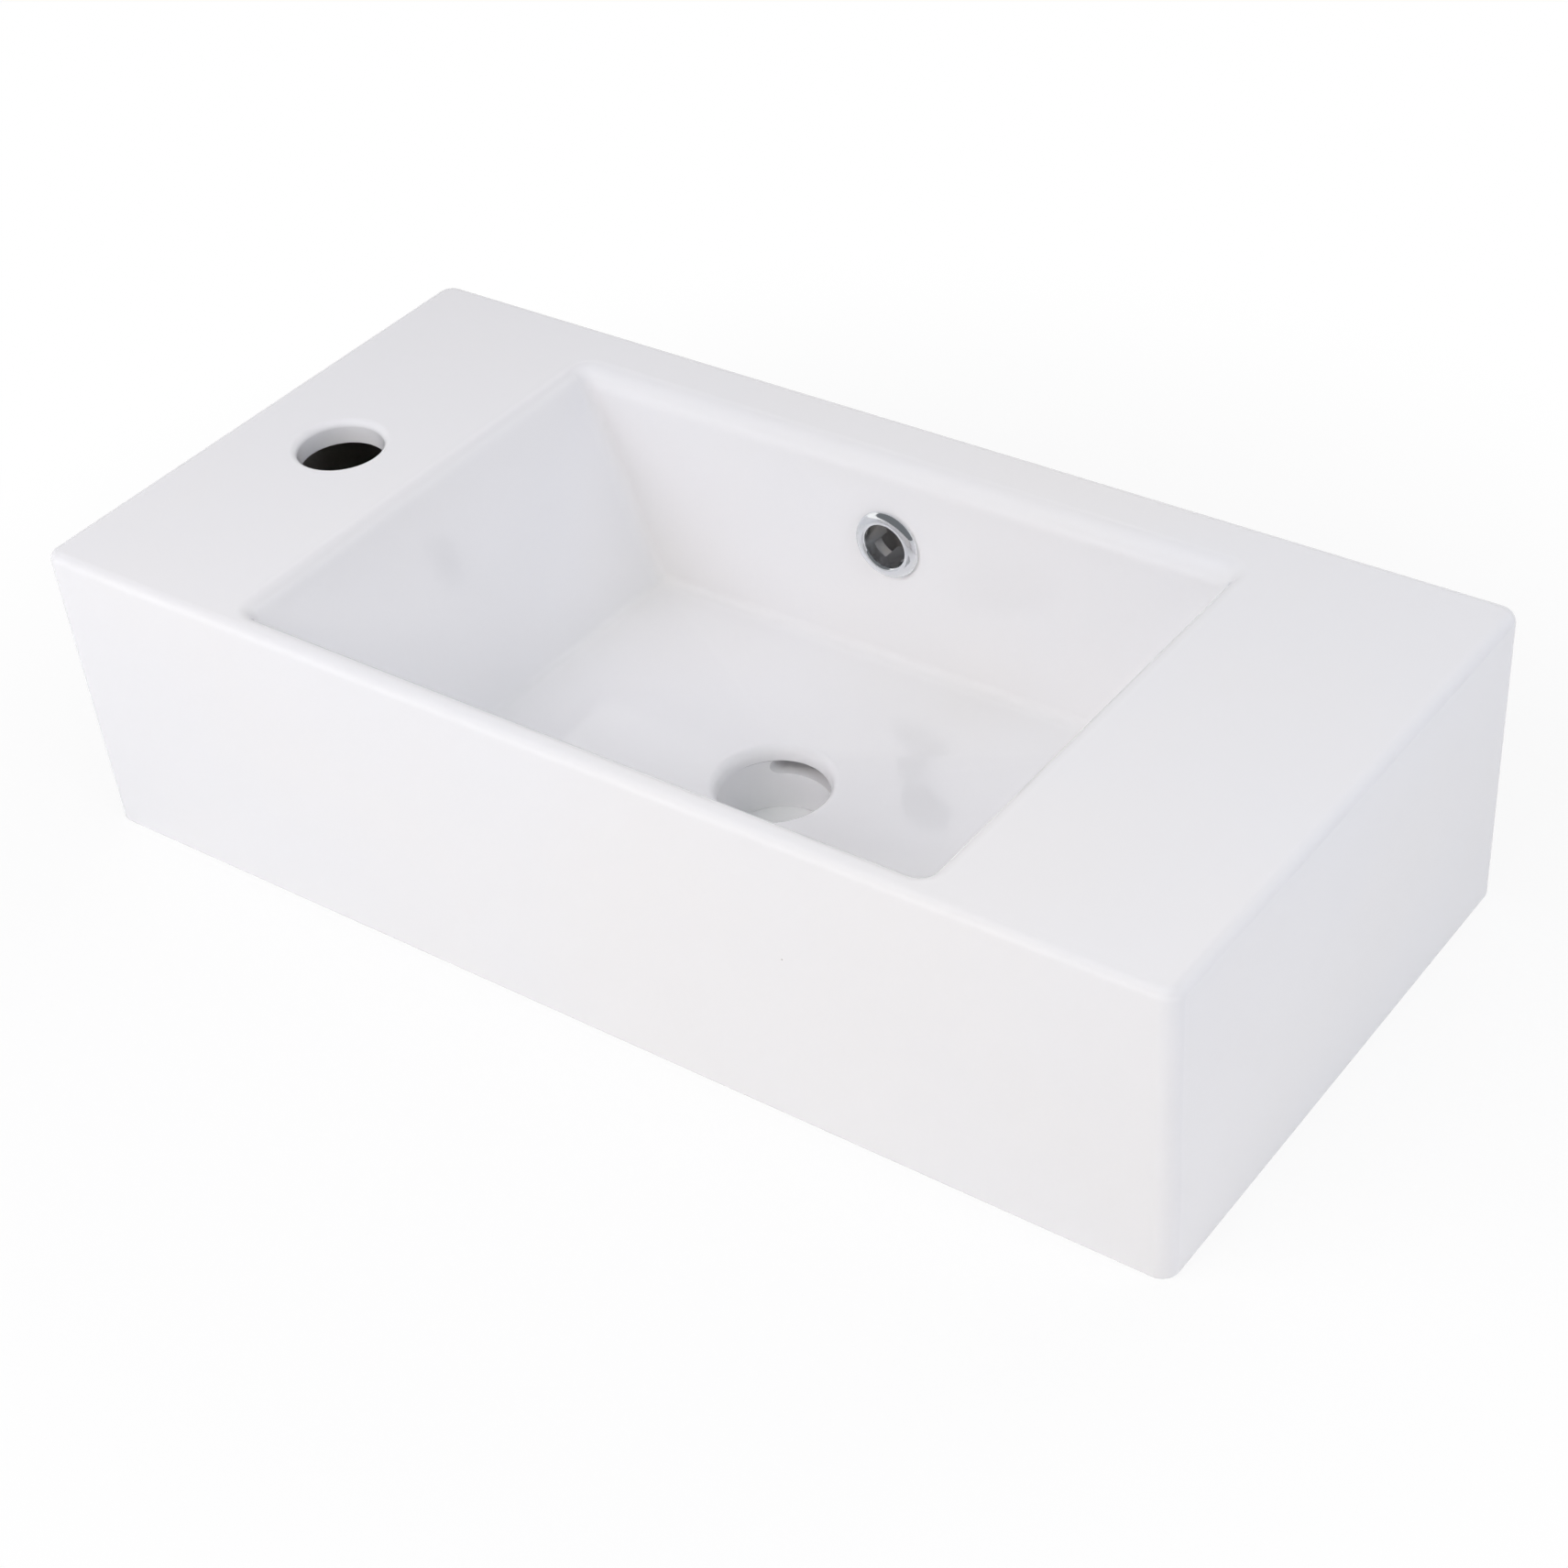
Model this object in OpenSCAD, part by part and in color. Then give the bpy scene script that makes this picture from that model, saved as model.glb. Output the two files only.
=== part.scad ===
// Rectangular ceramic basin with a tap deck at its left end.
// Frame: X runs along the width, the front faces -Y, Z is up.
// The origin is on the surface that the basin stands on, under the middle of its outline.

/* [Outside] */
// Width over the ends, at the deck
basin_w = 501; // [460:1:600]
// Depth from the front face to the back face, at the deck
basin_d = 241; // [225:1:320]
// Height from the foot rim to the deck
basin_h = 130; // [122:1:160]
// How much each end leans in between deck and foot
end_draft = 3.4; // [0:0.2:8]
// How much the front leans in between deck and foot
front_draft = 1.6; // [0:0.2:4]
// Radius of the upright corners at the front, seen from above
corner_r = 7; // [5:0.5:16]
// Radius of the upright corners at the back, seen from above
back_corner_r = 7.5; // [5:0.5:16]
// Radius of the edge between the deck and the front face
deck_edge_r = 4; // [1:0.5:4.5]
// Radius of the edge between the deck and the ends and back face
end_edge_r = 5; // [1:0.5:8]
// Radius of the outer edge of the foot rim
foot_edge_r = 2; // [0.5:0.25:3]

/* [Walls] */
// Thickness of the deck, as seen in the tap hole
deck_t = 10; // [8:0.5:13]
// Thickness of the outer skirt
skirt_t = 9; // [7:0.5:11]
// Thickness of the bowl's walls and floor
bowl_t = 9; // [7:0.5:10]
// Radius where the skirt meets the deck, inside the hollow
hollow_r = 8; // [3:0.5:12]

/* [Bowl] */
// Width of the bowl's mouth at the deck, where its lip starts to turn down
mouth_w = 316; // [280:2:340]
// Distance from the front face to the start of the front lip
front_rim = 4.75; // [4:0.25:14]
// Distance from the back face to the start of the back lip
back_deck = 21.5; // [18:0.5:40]
// Radius of the lip at both ends of the bowl
end_lip_r = 7; // [3:0.5:10]
// Radius of the lip along the back
back_lip_r = 9.5; // [3:0.5:10]
// Radius of the lip along the front
front_lip_r = 6.25; // [3:0.25:9]
// Lean of the bowl's end walls from upright, in degrees
end_lean = 20; // [5:1:28]
// Lean of the bowl's back wall from upright, in degrees
back_lean = 1.7; // [0.5:0.1:5]
// Lean of the bowl's front wall from upright, in degrees
front_lean = 3; // [0.5:0.5:6]
// Depth of the bowl at the foot of its walls
bowl_depth = 92; // [70:1:94]
// Further fall of the floor to the waste hole
floor_fall = 6.5; // [3:0.5:8]
// Radius of the bowl's upright inner corners
bowl_corner_r = 5; // [4.5:0.5:12]
// Radius between the bowl's walls and its floor
foot_r = 4.5; // [2:0.5:4.5]

/* [Waste outlet] */
// Radius of the waste hole
waste_r = 22; // [20:0.5:24]
// Distance of the waste hole behind the middle of the depth
waste_y = 4; // [-20:1:20]
// Distance of the waste and overflow holes to the right of the middle of the width
outlet_x = -1.5; // [-8:0.5:8]
// Radius of the rounded lip of the waste hole
waste_lip_r = 4; // [2:0.5:6]
// Width of the level land round that lip
waste_land = 1; // [0.5:0.5:3]
// Wall of the outlet boss round the waste hole
boss_t = 10; // [7:0.5:12]
// Height of the boss's seat face above the foot plane
seat_z = 2; // [1:0.5:6]

/* [Tap hole] */
// Radius of the tap hole
tap_r = 17.5; // [14:0.5:18]
// Distance of the tap hole from the left end of the deck
tap_from_end = 50; // [40:1:55]
// Distance of the tap hole behind the middle of the depth
tap_y = -4; // [-30:1:30]
// Radius of the tap hole's rounded upper edge
tap_lip_r = 3; // [0.5:0.5:4]

/* [Overflow] */
// Radius of the overflow hole in the bowl's back wall
overflow_r = 11; // [9:0.5:12]
// Depth of the overflow hole's centre below the deck
overflow_drop = 37; // [30:1:44]
// Inner width of the overflow passage
duct_w = 30; // [25:1:40]
// Inner height of the overflow passage under the floor
duct_h = 7; // [6:0.5:10]
// Thickness of the floor over the overflow passage, at the waste hole
duct_cover = 5; // [4.5:0.5:9]
// Thickness of the passage's own walls
duct_t = 7; // [5:0.5:9]

/* [Overflow ring] */
// How far the ring's flange covers the ceramic round its hole
flange_lap = 3.5; // [2:0.25:5]
// Height of the flange's dome above the wall
flange_h = 3; // [2:0.5:4]
// Thickness of the ring's sleeve
ring_wall = 1.4; // [0.8:0.1:2]
// Play between the ring's sleeve and the hole
ring_play = 0.3; // [0.2:0.05:0.5]
// Gap between the flange and the wall
ring_seat_gap = 0.1; // [0.05:0.05:0.3]
// Length of the closed sleeve behind the flange, before it splits into legs
collar_len = 3; // [1:0.5:5]
// Number of spring legs
leg_count = 4; // [3:1:6]
// Width of a spring leg
leg_w = 7; // [4:0.5:8]
// Reach of the legs behind the wall's back face
leg_reach = 3; // [2.5:0.5:6]
// How far a leg's barb stands out behind the wall
barb = 0.8; // [0.4:0.1:1.2]
// Gap between a barb's shoulder and the wall's back face
barb_gap = 0.6; // [0.5:0.1:1.5]

/* [Wall fixing] */
// Distance between the two fixing holes in the back
fixing_spacing = 380; // [350:5:400]
// Radius of a fixing hole
fixing_r = 8; // [5:0.5:10]
// Height of the fixing holes above the foot plane
fixing_z = 85; // [60:1:100]

/* [Hidden] */
$fn = 96;

front_y = -basin_d / 2;
back_y = basin_d / 2;
end_x = basin_w / 2;

// Small overlap that lets one solid cut cleanly through another
cut = 2;
// Least radius kept at a corner that a rounded edge has drawn in
least_r = 0.6;
// Points on each quarter arc and on each side of a loft's outline
arc_n = 6;
side_n = 5;
loft_n = 4 * (arc_n + 1 + side_n);
// Angle between the outlines that follow a rounded edge
edge_step = 15;
// Bands of the floor between the waste's lip and the walls' foot, and how quickly it flattens
floor_n = 4;
floor_ease = 1.5;

lip_max = max(end_lip_r, back_lip_r, front_lip_r);
mouth_front = front_y + front_rim;
mouth_back = back_y - back_deck;

floor_z = basin_h - bowl_depth;
waste_rim_z = floor_z - floor_fall;
waste_throat_r = waste_r + waste_lip_r;
boss_r = waste_r + boss_t;
duct_top_z = waste_rim_z - duct_cover;
duct_floor_z = duct_top_z - duct_h;
duct_r = duct_h / 3;

overflow_z = basin_h - overflow_drop;
overflow_face_y = mouth_back - wall_in(overflow_drop, back_lip_r, back_lean, 0);
duct_front_y = mouth_back - wall_in(overflow_drop, back_lip_r, back_lean, bowl_t);
duct_back_y = back_y - skirt_t;
sleeve_r = overflow_r - ring_play;
sleeve_len = bowl_t + leg_reach;
ring_bore_r = sleeve_r - ring_wall;
flange_r = overflow_r + flange_lap;
flange_w = flange_r - ring_bore_r;
barb_len = leg_reach - barb_gap;

// Distance of a wall's straight part in from the mouth, at depth d below the deck
function straight_in(d, lip, lean) =
    lip * cos(lean) + (d - lip * (1 - sin(lean))) * tan(lean);

// Distance of a wall in from the mouth at depth d: lip arc, straight wall, then foot arc.
// grow moves the surface outwards, for the outside of the bowl's wall.
function wall_in(d, lip, lean, grow) =
    let (foot_d = bowl_depth - foot_r)
    let (foot_c = straight_in(foot_d, lip, lean) + foot_r / cos(lean))
    grow == 0 && d < lip * (1 - sin(lean)) ? sqrt(max(0, lip * lip - pow(lip - d, 2))) :
    d < foot_d + (foot_r + grow) * sin(lean) ? straight_in(d, lip, lean) - grow / cos(lean) :
    foot_c - sqrt(max(0, pow(foot_r + grow, 2) - pow(d - foot_d, 2)));

// Radius of the bowl's plan corners at depth d: wide at the lip, nearly sharp at the floor
function bowl_plan_r(d, grow) =
    grow > 0 ? bowl_corner_r + grow :
    d < end_lip_r ? bowl_corner_r + end_lip_r - sqrt(end_lip_r * end_lip_r - pow(end_lip_r - d, 2)) :
    let (past = d - (bowl_depth - foot_r))
    past > 0 ? max(least_r, bowl_corner_r - foot_r + sqrt(max(0, foot_r * foot_r - past * past))) :
    bowl_corner_r;

// One closed outline of a rounded rectangle at height z, counter-clockwise seen from above.
// Its corners have radius back_r at the back and r at the front.
function outline(x0, x1, y0, y1, back_r, r, z) =
    let (radii = [back_r, back_r, r, r])
    let (cx = [x1 - back_r, x0 + back_r, x0 + r, x1 - r])
    let (cy = [y1 - back_r, y1 - back_r, y0 + r, y0 + r])
    [for (k = [0:3])
        let (a0 = 90 * k)
        let (next = (k + 1) % 4)
        let (from = [cx[k] + radii[k] * cos(a0 + 90), cy[k] + radii[k] * sin(a0 + 90)])
        let (to = [cx[next] + radii[next] * cos(a0 + 90), cy[next] + radii[next] * sin(a0 + 90)])
        each concat(
            [for (i = [0:arc_n])
                let (a = a0 + 90 * i / arc_n)
                [cx[k] + radii[k] * cos(a), cy[k] + radii[k] * sin(a), z]],
            [for (i = [1:side_n])
                let (p = from + (to - from) * i / (side_n + 1))
                [p[0], p[1], z]])];

// The edge of the level land round the waste's lip, with an outline's number of points
function waste_outline(z) =
    let (r = (waste_throat_r + waste_land) / cos(180 / loft_n))
    [for (j = [0:loft_n - 1])
        let (a = 45 + (j - arc_n / 2) * 360 / loft_n)
        [outlet_x + r * cos(a), waste_y + r * sin(a), z]];

// The floor's outline at a share of the way from that land to the foot of the walls.
// The floor rises ever less steeply, and is level where the walls start.
function floor_outline(share) =
    let (inner = waste_outline(waste_rim_z))
    let (outer = bowl_outline(bowl_depth, 0))
    [for (i = [0:loft_n - 1])
        let (p = inner[i] + (outer[i] - inner[i]) * share)
        [p[0], p[1], waste_rim_z + floor_fall * (1 - pow(1 - share, floor_ease))]];

// The bowl's outline at depth d
function bowl_outline(d, grow) =
    outline(-mouth_w / 2 + wall_in(d, end_lip_r, end_lean, grow),
            mouth_w / 2 - wall_in(d, end_lip_r, end_lean, grow),
            mouth_front + wall_in(d, front_lip_r, front_lean, grow),
            mouth_back - wall_in(d, back_lip_r, back_lean, grow),
            bowl_plan_r(d, grow), bowl_plan_r(d, grow),
            basin_h - d);

// The outline of the outer faces at height z, drawn in by inset, and by front_in at the front
function shell_outline(z, inset, front_in, back_r, r) =
    let (lean = (basin_h - z) / basin_h)
    outline(-end_x + end_draft * lean + inset,
            end_x - end_draft * lean - inset,
            front_y + front_draft * lean + front_in,
            back_y - inset,
            back_r, r, z);

// How far an edge of radius r draws a face in, at distance d from the plane that it meets
function edge_in(d, r) =
    d < r ? r - sqrt(max(0, r * r - pow(r - d, 2))) : 0;

// The outline of the outer form at depth d below the deck, with its rounded deck edges
function deck_outline(d) =
    let (inset = edge_in(d, end_edge_r))
    let (front_in = edge_in(d, deck_edge_r))
    let (back_r = max(least_r, back_corner_r - inset))
    shell_outline(basin_h - d, inset, front_in, back_r, max(least_r, corner_r - max(inset, front_in)));

// The point in the middle of an outline
function middle(ring) =
    [for (axis = [0:2]) [for (p = ring) p[axis]] * [for (p = ring) 1] / len(ring)];

// A closed solid carried through outlines that are listed from the lowest up.
// Each end is closed by a fan about the middle of its outline.
module loft(rings) {
    n = len(rings[0]);
    m = len(rings);
    low = m * n;
    high = low + 1;
    top = (m - 1) * n;
    sides = [for (k = [0:m - 2]) for (i = [0:n - 1])
        let (a = k * n + i)
        let (d = k * n + (i + 1) % n)
        each [[a, a + n, d + n], [a, d + n, d]]];
    polyhedron(
        points = concat([for (ring = rings) each ring], [middle(rings[0]), middle(rings[m - 1])]),
        faces = concat(
            [for (i = [0:n - 1]) [low, i, (i + 1) % n]],
            sides,
            [for (i = [0:n - 1]) [high, top + (i + 1) % n, top + i]]),
        convexity = 8);
}

// Round hole from the low plane up to a rim at height 0, where its edge is rounded over
module lipped_hole(r, lip, low) {
    rotate_extrude()
        polygon(concat(
            [[0, low], [r, low]],
            [for (a = [0:edge_step:90]) [r + lip * (1 - cos(a)), lip * (sin(a) - 1)]],
            [[r + lip, cut], [0, cut]]));
}

// The outer form, with leaning ends and front, rounded corners and a rounded deck edge
module outer_form() {
    turn = max(deck_edge_r, end_edge_r);
    loft(concat(
        [for (a = [90:-edge_step:0])
            let (inset = foot_edge_r * (1 - cos(a)))
            shell_outline(foot_edge_r * (1 - sin(a)), inset, inset, back_corner_r - inset, corner_r - inset)],
        [for (a = [0:edge_step:90]) deck_outline(turn * (1 - sin(a)))]));
}

// The hollow under the deck, open at the foot
module hollow_form() {
    turn = hollow_r;
    top_z = basin_h - deck_t;
    loft(concat(
        [shell_outline(-cut, skirt_t, skirt_t, turn + least_r, turn + least_r)],
        [for (a = [0:edge_step:90])
            let (inset = turn * (1 - cos(a)))
            let (r = turn + least_r - inset)
            shell_outline(top_z - turn * (1 - sin(a)), skirt_t + inset, skirt_t + inset, r, r)]));
}

// The inside of the bowl: waste rim, dished floor, foot arc, walls and lip
module bowl_space() {
    loft(concat(
        [for (k = [0:floor_n - 1]) floor_outline(k / floor_n)],
        [for (a = [90:-edge_step:0]) bowl_outline(bowl_depth - foot_r * (1 - sin(a)), 0)],
        [for (a = [90:-edge_step:0]) bowl_outline(lip_max * (1 - cos(a)), 0)],
        [[for (p = bowl_outline(0, 0)) [p[0], p[1], basin_h + cut]]]));
}

// The outside of the bowl's wall and floor
module bowl_jacket() {
    loft(concat(
        [waste_outline(waste_rim_z - bowl_t)],
        [for (a = [90:-edge_step:0])
            bowl_outline(bowl_depth - foot_r + (foot_r + bowl_t) * sin(a), bowl_t)],
        [bowl_outline(deck_t / 2, bowl_t)]));
}

// The waste outlet below the floor, with a flat seat for the waste's washer
module outlet_boss() {
    translate([outlet_x, waste_y, seat_z])
        cylinder(r = boss_r, h = floor_z - seat_z);
}

// A bar along Z of rounded section, centred on its axis
module rounded_bar(w, d, r, length) {
    linear_extrude(length)
        polygon([for (k = [0:3]) for (i = [0:arc_n])
            let (a = 90 * (k + i / arc_n))
            let (right = k == 0 || k == 3 ? 1 : -1)
            let (back = k < 2 ? 1 : -1)
            [right * (w / 2 - r) + r * cos(a), back * (d / 2 - r) + r * sin(a)]]);
}

// A rounded bar that runs back from the waste hole to y, between two heights
module rounded_run(w, low_z, high_z, r, y) {
    translate([outlet_x, y, (low_z + high_z) / 2])
        rotate([90, 0, 0])
            rounded_bar(w, high_z - low_z, r, y - waste_y);
}

// The walls of the overflow passage: a rib under the floor and a shaft behind the bowl
module duct_body() {
    width = duct_w + 2 * duct_t;
    rib_r = duct_t / 2;
    front = duct_front_y - bowl_t / 2;
    low_z = duct_floor_z - duct_t;
    rounded_run(width, low_z, floor_z, rib_r, duct_back_y + cut);
    translate([outlet_x - width / 2, front, low_z + rib_r])
        cube([width, duct_back_y - front + cut, basin_h - deck_t / 2 - low_z - rib_r]);
}

// The overflow passage itself, from the ring down behind the bowl to the waste hole
module duct_space() {
    crown_z = overflow_z + overflow_r;
    rounded_run(duct_w, duct_floor_z, duct_top_z, duct_r, duct_back_y);
    translate([outlet_x, (duct_front_y + duct_back_y) / 2, duct_floor_z + duct_r])
        rounded_bar(duct_w, duct_back_y - duct_front_y, duct_r, crown_z - duct_floor_z - duct_r);
}

// Places its children on the bowl's back wall, with their Z axis pointing out of the wall
module on_overflow() {
    translate([outlet_x, overflow_face_y, overflow_z])
        rotate([90 - back_lean, 0, 0])
            children();
}

// Every hole through the ceramic
module bores() {
    translate([-end_x + tap_from_end, tap_y, basin_h])
        lipped_hole(tap_r, tap_lip_r, -deck_t - cut);
    translate([outlet_x, waste_y, waste_rim_z])
        lipped_hole(waste_r, waste_lip_r, seat_z - waste_rim_z - cut);
    on_overflow()
        translate([0, 0, -bowl_t - cut])
            cylinder(r = overflow_r, h = bowl_t + 2 * cut);
    for (side = [-1, 1])
        translate([side * fixing_spacing / 2, back_y + cut, fixing_z])
            rotate([90, 0, 0])
                cylinder(r = fixing_r, h = skirt_t + 2 * cut);
}

// The fired ceramic body
module basin_body() {
    color("whitesmoke")
        difference() {
            outer_form();
            difference() {
                hollow_form();
                bowl_jacket();
                outlet_boss();
                duct_body();
            }
            bowl_space();
            duct_space();
            bores();
        }
}

// The chromed ring: a domed flange, a collar behind it and spring legs with barbs
module overflow_ring() {
    color("silver")
        on_overflow() {
            translate([0, 0, ring_seat_gap])
                flange();
            translate([0, 0, -collar_len])
                sleeve(collar_len + ring_seat_gap + flange_h / 3);
            intersection() {
                translate([0, 0, -sleeve_len]) {
                    sleeve(sleeve_len);
                    barb_ring();
                }
                leg_fan();
            }
        }
}

// The flange: flat against the wall and domed in front
module flange() {
    rotate_extrude()
        translate([ring_bore_r, 0])
            intersection() {
                translate([flange_w / 2, 0])
                    scale([flange_w / 2, flange_h])
                        circle(1);
                square([flange_w, flange_h]);
            }
}

// A tube of the ring's bore and sleeve radius
module sleeve(length) {
    difference() {
        cylinder(r = sleeve_r, h = length);
        translate([0, 0, -cut])
            cylinder(r = ring_bore_r, h = length + 2 * cut);
    }
}

// The barbs as one turned ring: a ramp that ends in a shoulder towards the wall
module barb_ring() {
    rotate_extrude()
        polygon([[ring_bore_r, 0], [sleeve_r, 0], [sleeve_r + barb, barb_len], [ring_bore_r, barb_len]]);
}

// Radial blocks that leave only the legs of what they are crossed with
module leg_fan() {
    for (k = [0:leg_count - 1])
        rotate(360 * k / leg_count)
            translate([0, -leg_w / 2, -sleeve_len - cut])
                cube([flange_r, leg_w, sleeve_len + cut]);
}

basin_body();
overflow_ring();
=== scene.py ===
"""The looks of a rectangular ceramic basin with a tap deck at its left end.

Lengths are in millimetres in the classes and in metres in the meshes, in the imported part's
frame: X runs along the width, the front faces -Y, Z is up, and the basin stands on Z = 0.
"""

import logging
import math
from dataclasses import dataclass
from enum import Enum
from typing import Any, Mapping, Sequence

import bpy
import numpy as np
from mathutils import Matrix


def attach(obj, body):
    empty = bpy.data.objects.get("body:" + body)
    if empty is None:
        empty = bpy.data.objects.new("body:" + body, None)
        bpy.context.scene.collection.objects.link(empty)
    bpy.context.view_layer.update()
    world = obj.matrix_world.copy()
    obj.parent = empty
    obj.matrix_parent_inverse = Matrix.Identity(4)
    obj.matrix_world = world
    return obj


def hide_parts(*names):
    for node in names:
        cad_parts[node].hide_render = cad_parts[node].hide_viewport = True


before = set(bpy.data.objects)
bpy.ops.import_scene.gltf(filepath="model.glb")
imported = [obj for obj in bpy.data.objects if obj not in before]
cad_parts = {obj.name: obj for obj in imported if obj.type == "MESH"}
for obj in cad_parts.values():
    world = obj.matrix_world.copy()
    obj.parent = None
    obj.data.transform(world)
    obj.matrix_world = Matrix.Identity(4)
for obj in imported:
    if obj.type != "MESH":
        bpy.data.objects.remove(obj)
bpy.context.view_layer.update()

LOG = logging.getLogger("basin")
MM = 0.001
BODY = "root"
BARE = "bare"
FLAT_WEIGHT = 90

Array = np.ndarray
Real = float | Array
Numbers = Real | Sequence[float]
Colour = tuple[float, float, float, float]
Pair = tuple[float, float]
WHITE: Colour = (1.0, 1.0, 1.0, 1.0)


class Act(Enum):
    """What a second solid does to the first one."""

    CUT = "DIFFERENCE"
    JOIN = "UNION"
    CROSS = "INTERSECT"


class Ray(Enum):
    """The kinds of ray that the world and the floor answer in their own way."""

    CAMERA = "Is Camera Ray"
    GLOSSY = "Is Glossy Ray"
    TRANSMISSION = "Is Transmission Ray"


# Shapes


def quads(rows: int, cols: int, looped: bool) -> Array:
    """Faces of a grid of points whose columns close on themselves.

    Args:
        rows: How many rings of points the grid has.
        cols: How many points each ring has.
        looped: Whether the last ring joins the first one.

    Returns:
        One row of four point numbers for each face.
    """
    row = np.arange(rows if looped else rows - 1)[:, None]
    col = np.arange(cols)[None, :]
    after, above = (col + 1) % cols, (row + 1) % rows
    corners = [row * cols + col, row * cols + after, above * cols + after, above * cols + col]
    return np.stack(corners, axis=-1).reshape(-1, 4)


def solid(name: str, rings: Array, looped: bool = False, bare: float = 0.0) -> bpy.types.Object:
    """Makes a closed solid from rings of points.

    A looped grid is closed like a tyre. Any other has a fan about the mean point at each end.
    The sum of each face's first corner on its area vector tells whether the faces look in,
    and then every face is turned round.

    Args:
        name: The object's name.
        rings: Points in millimetres, as rings by points by three.
        looped: Whether the last ring joins the first one.
        bare: 1 where the surface stays unglazed, and 0 where it is glazed.

    Returns:
        The new object.
    """
    rows, cols = rings.shape[:2]
    points = rings.reshape(-1, 3)
    faces = [quads(rows, cols, looped)]
    if not looped:
        ends = np.stack([rings[0].mean(axis=0), rings[-1].mean(axis=0)])
        low, high = len(points), len(points) + 1
        here = np.arange(cols)
        after = (here + 1) % cols
        top = (rows - 1) * cols
        faces.append(np.stack([np.full(cols, low), after, here], axis=-1))
        faces.append(np.stack([np.full(cols, high), top + here, top + after], axis=-1))
        points = np.concatenate([points, ends])
    quad = faces[0]
    spread = np.cross(points[quad[:, 2]] - points[quad[:, 0]], points[quad[:, 3]] - points[quad[:, 1]])
    if float(((points[quad].mean(axis=1) - points.mean(axis=0)) * spread).sum()) < 0:
        faces = [part[:, ::-1] for part in faces]
    mesh = bpy.data.meshes.new(name)
    mesh.from_pydata((points * MM).tolist(), [], [face for part in faces for face in part.tolist()])
    layer = mesh.attributes.new(BARE, "FLOAT", "FACE")
    layer.data.foreach_set("value", np.full(len(mesh.polygons), bare, dtype=np.float32))
    mesh.update()
    thing = bpy.data.objects.new(name, mesh)
    bpy.context.scene.collection.objects.link(thing)
    return thing


def carve(base: bpy.types.Object, steps: Sequence[tuple[Act, bpy.types.Object]]) -> bpy.types.Object:
    """Applies solids to a base solid, one after the other, and deletes them.

    The booleans leave an empty material slot, which is dropped.

    Args:
        base: The solid that is kept.
        steps: What each other solid does, and that solid.

    Returns:
        The base, with its new mesh.
    """
    for act, tool in steps:
        step = base.modifiers.new(tool.name, "BOOLEAN")
        step.operation = act.value
        step.object = tool
        step.solver = "MANIFOLD"
    shaped = base.evaluated_get(bpy.context.evaluated_depsgraph_get())
    mesh = bpy.data.meshes.new_from_object(shaped)
    mesh.materials.clear()
    base.modifiers.clear()
    base.data = mesh
    for _, tool in steps:
        bpy.data.objects.remove(tool)
    return base


def rounded(x: tuple[Real, Real], y: tuple[Real, Real], radii: tuple[Real, Real], z: Real,
            arc: int, side: int) -> Array:
    """Rings of rounded rectangles, one for each height.

    Each corner is a quarter circle about a centre that lies one radius in from both sides, and
    each side is the straight line from one quarter circle's end to the next one's start.

    Args:
        x: Left sides and right sides.
        y: Front sides and back sides.
        radii: Radii of the back corners and of the front ones.
        z: Heights.
        arc: Steps round each corner.
        side: Points between the corners, on each side.

    Returns:
        Points as rings by points by three, counter-clockwise from above.
    """
    x0, x1, y0, y1, back, front, z = np.broadcast_arrays(*np.atleast_1d(*x, *y, *radii, z))
    centres = np.stack([
        np.stack([x1 - back, x0 + back, x0 + front, x1 - front], axis=-1),
        np.stack([y1 - back, y1 - back, y0 + front, y0 + front], axis=-1)], axis=-1)
    radius = np.stack([back, back, front, front], axis=-1)
    turn = np.radians(90 * np.arange(4)[:, None] + np.linspace(0, 90, arc + 1)[None, :])
    wheel = np.stack([np.cos(turn), np.sin(turn)], axis=-1)
    corners = centres[:, :, None, :] + radius[:, :, None, None] * wheel[None]
    start, stop = corners[:, :, -1:, :], np.roll(corners, -1, axis=1)[:, :, :1, :]
    share = (np.arange(1, side + 1) / (side + 1))[None, None, :, None]
    flat = np.concatenate([corners, start + (stop - start) * share], axis=2)
    flat = flat.reshape(len(z), -1, 2)
    height = np.broadcast_to(z[:, None, None], flat.shape[:2] + (1,))
    return np.concatenate([flat, height], axis=-1)


def circles(radius: Numbers, z: Numbers, count: int, middle: Pair = (0.0, 0.0),
            first: float = 0.0) -> Array:
    """Rings of circles about an upright axis.

    Args:
        radius: One radius for each ring, or one for all.
        z: One height for each ring.
        count: Points in each ring.
        middle: Where the axis stands, as X and Y.
        first: Angle of the first point, in degrees.

    Returns:
        Points as rings by points by three.
    """
    radius, z = np.broadcast_arrays(*np.atleast_1d(radius, z))
    turn = np.radians(first) + 2 * np.pi * np.arange(count) / count
    x = middle[0] + radius[:, None] * np.cos(turn)
    return np.stack([x, middle[1] + radius[:, None] * np.sin(turn), z[:, None] + 0 * x], axis=-1)


def slab(name: str, low: Sequence[float], high: Sequence[float], bare: float) -> bpy.types.Object:
    """A plain block, for the walls of a passage or the place of a leg.

    Args:
        name: The object's name.
        low: Its corner with the lowest X, Y and Z.
        high: Its corner with the highest ones.
        bare: 1 where its surface stays unglazed, and 0 where it is glazed.

    Returns:
        The block.
    """
    (x0, y0, z0), (x1, y1, z1) = low, high
    ring = np.array([[x1, y0], [x1, y1], [x0, y1], [x0, y0]], dtype=float)
    rings = np.stack([np.column_stack([ring, np.full(4, z)]) for z in (z0, z1)])
    return solid(name, rings, bare=bare)


def quarter(steps: int, start: float = 0.0, stop: float = 90.0) -> Array:
    """Angles in radians from start to stop degrees, both included."""
    return np.radians(np.linspace(start, stop, steps + 1))


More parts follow.
